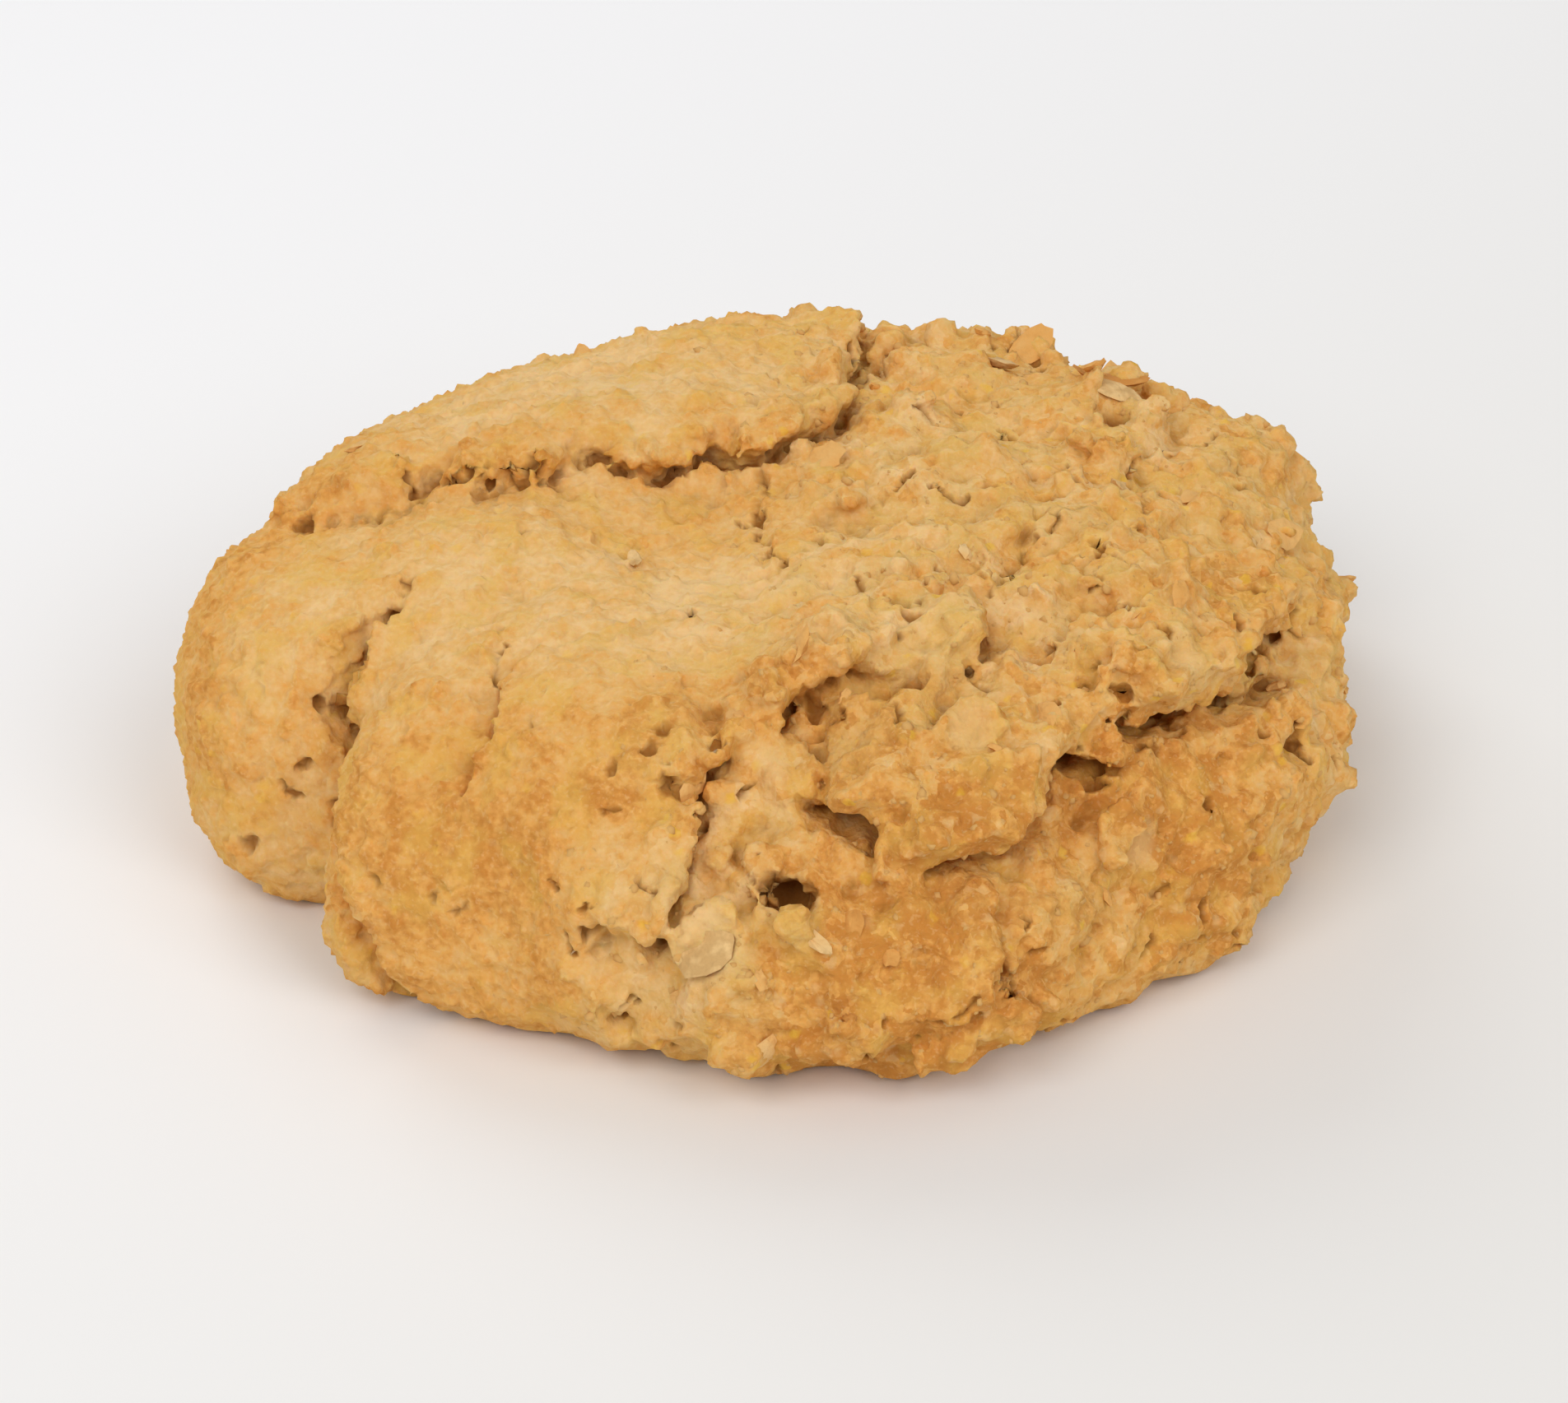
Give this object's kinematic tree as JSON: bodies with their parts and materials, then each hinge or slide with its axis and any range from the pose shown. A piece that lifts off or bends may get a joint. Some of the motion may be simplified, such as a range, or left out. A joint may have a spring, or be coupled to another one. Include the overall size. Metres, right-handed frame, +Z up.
{
  "type": "oatmeal cookie",
  "caption": "Thick round oatmeal cookie with a domed, cracked and craggy top, oat flakes showing in the torn dough and a flat underside to rest on",
  "frame": {"origin": "on the table, under the middle of the cookie's outline", "axes": "+Z is up, out of the top of the cookie; +X is to the right and +Y to the back as the picture sees it"},
  "size_m": [0.0776, 0.0802, 0.0245],
  "materials": {
    "baked_dough": null
  },
  "bodies": {
    "root": {"cookie": "baked_dough"}
  },
  "joints": []
}
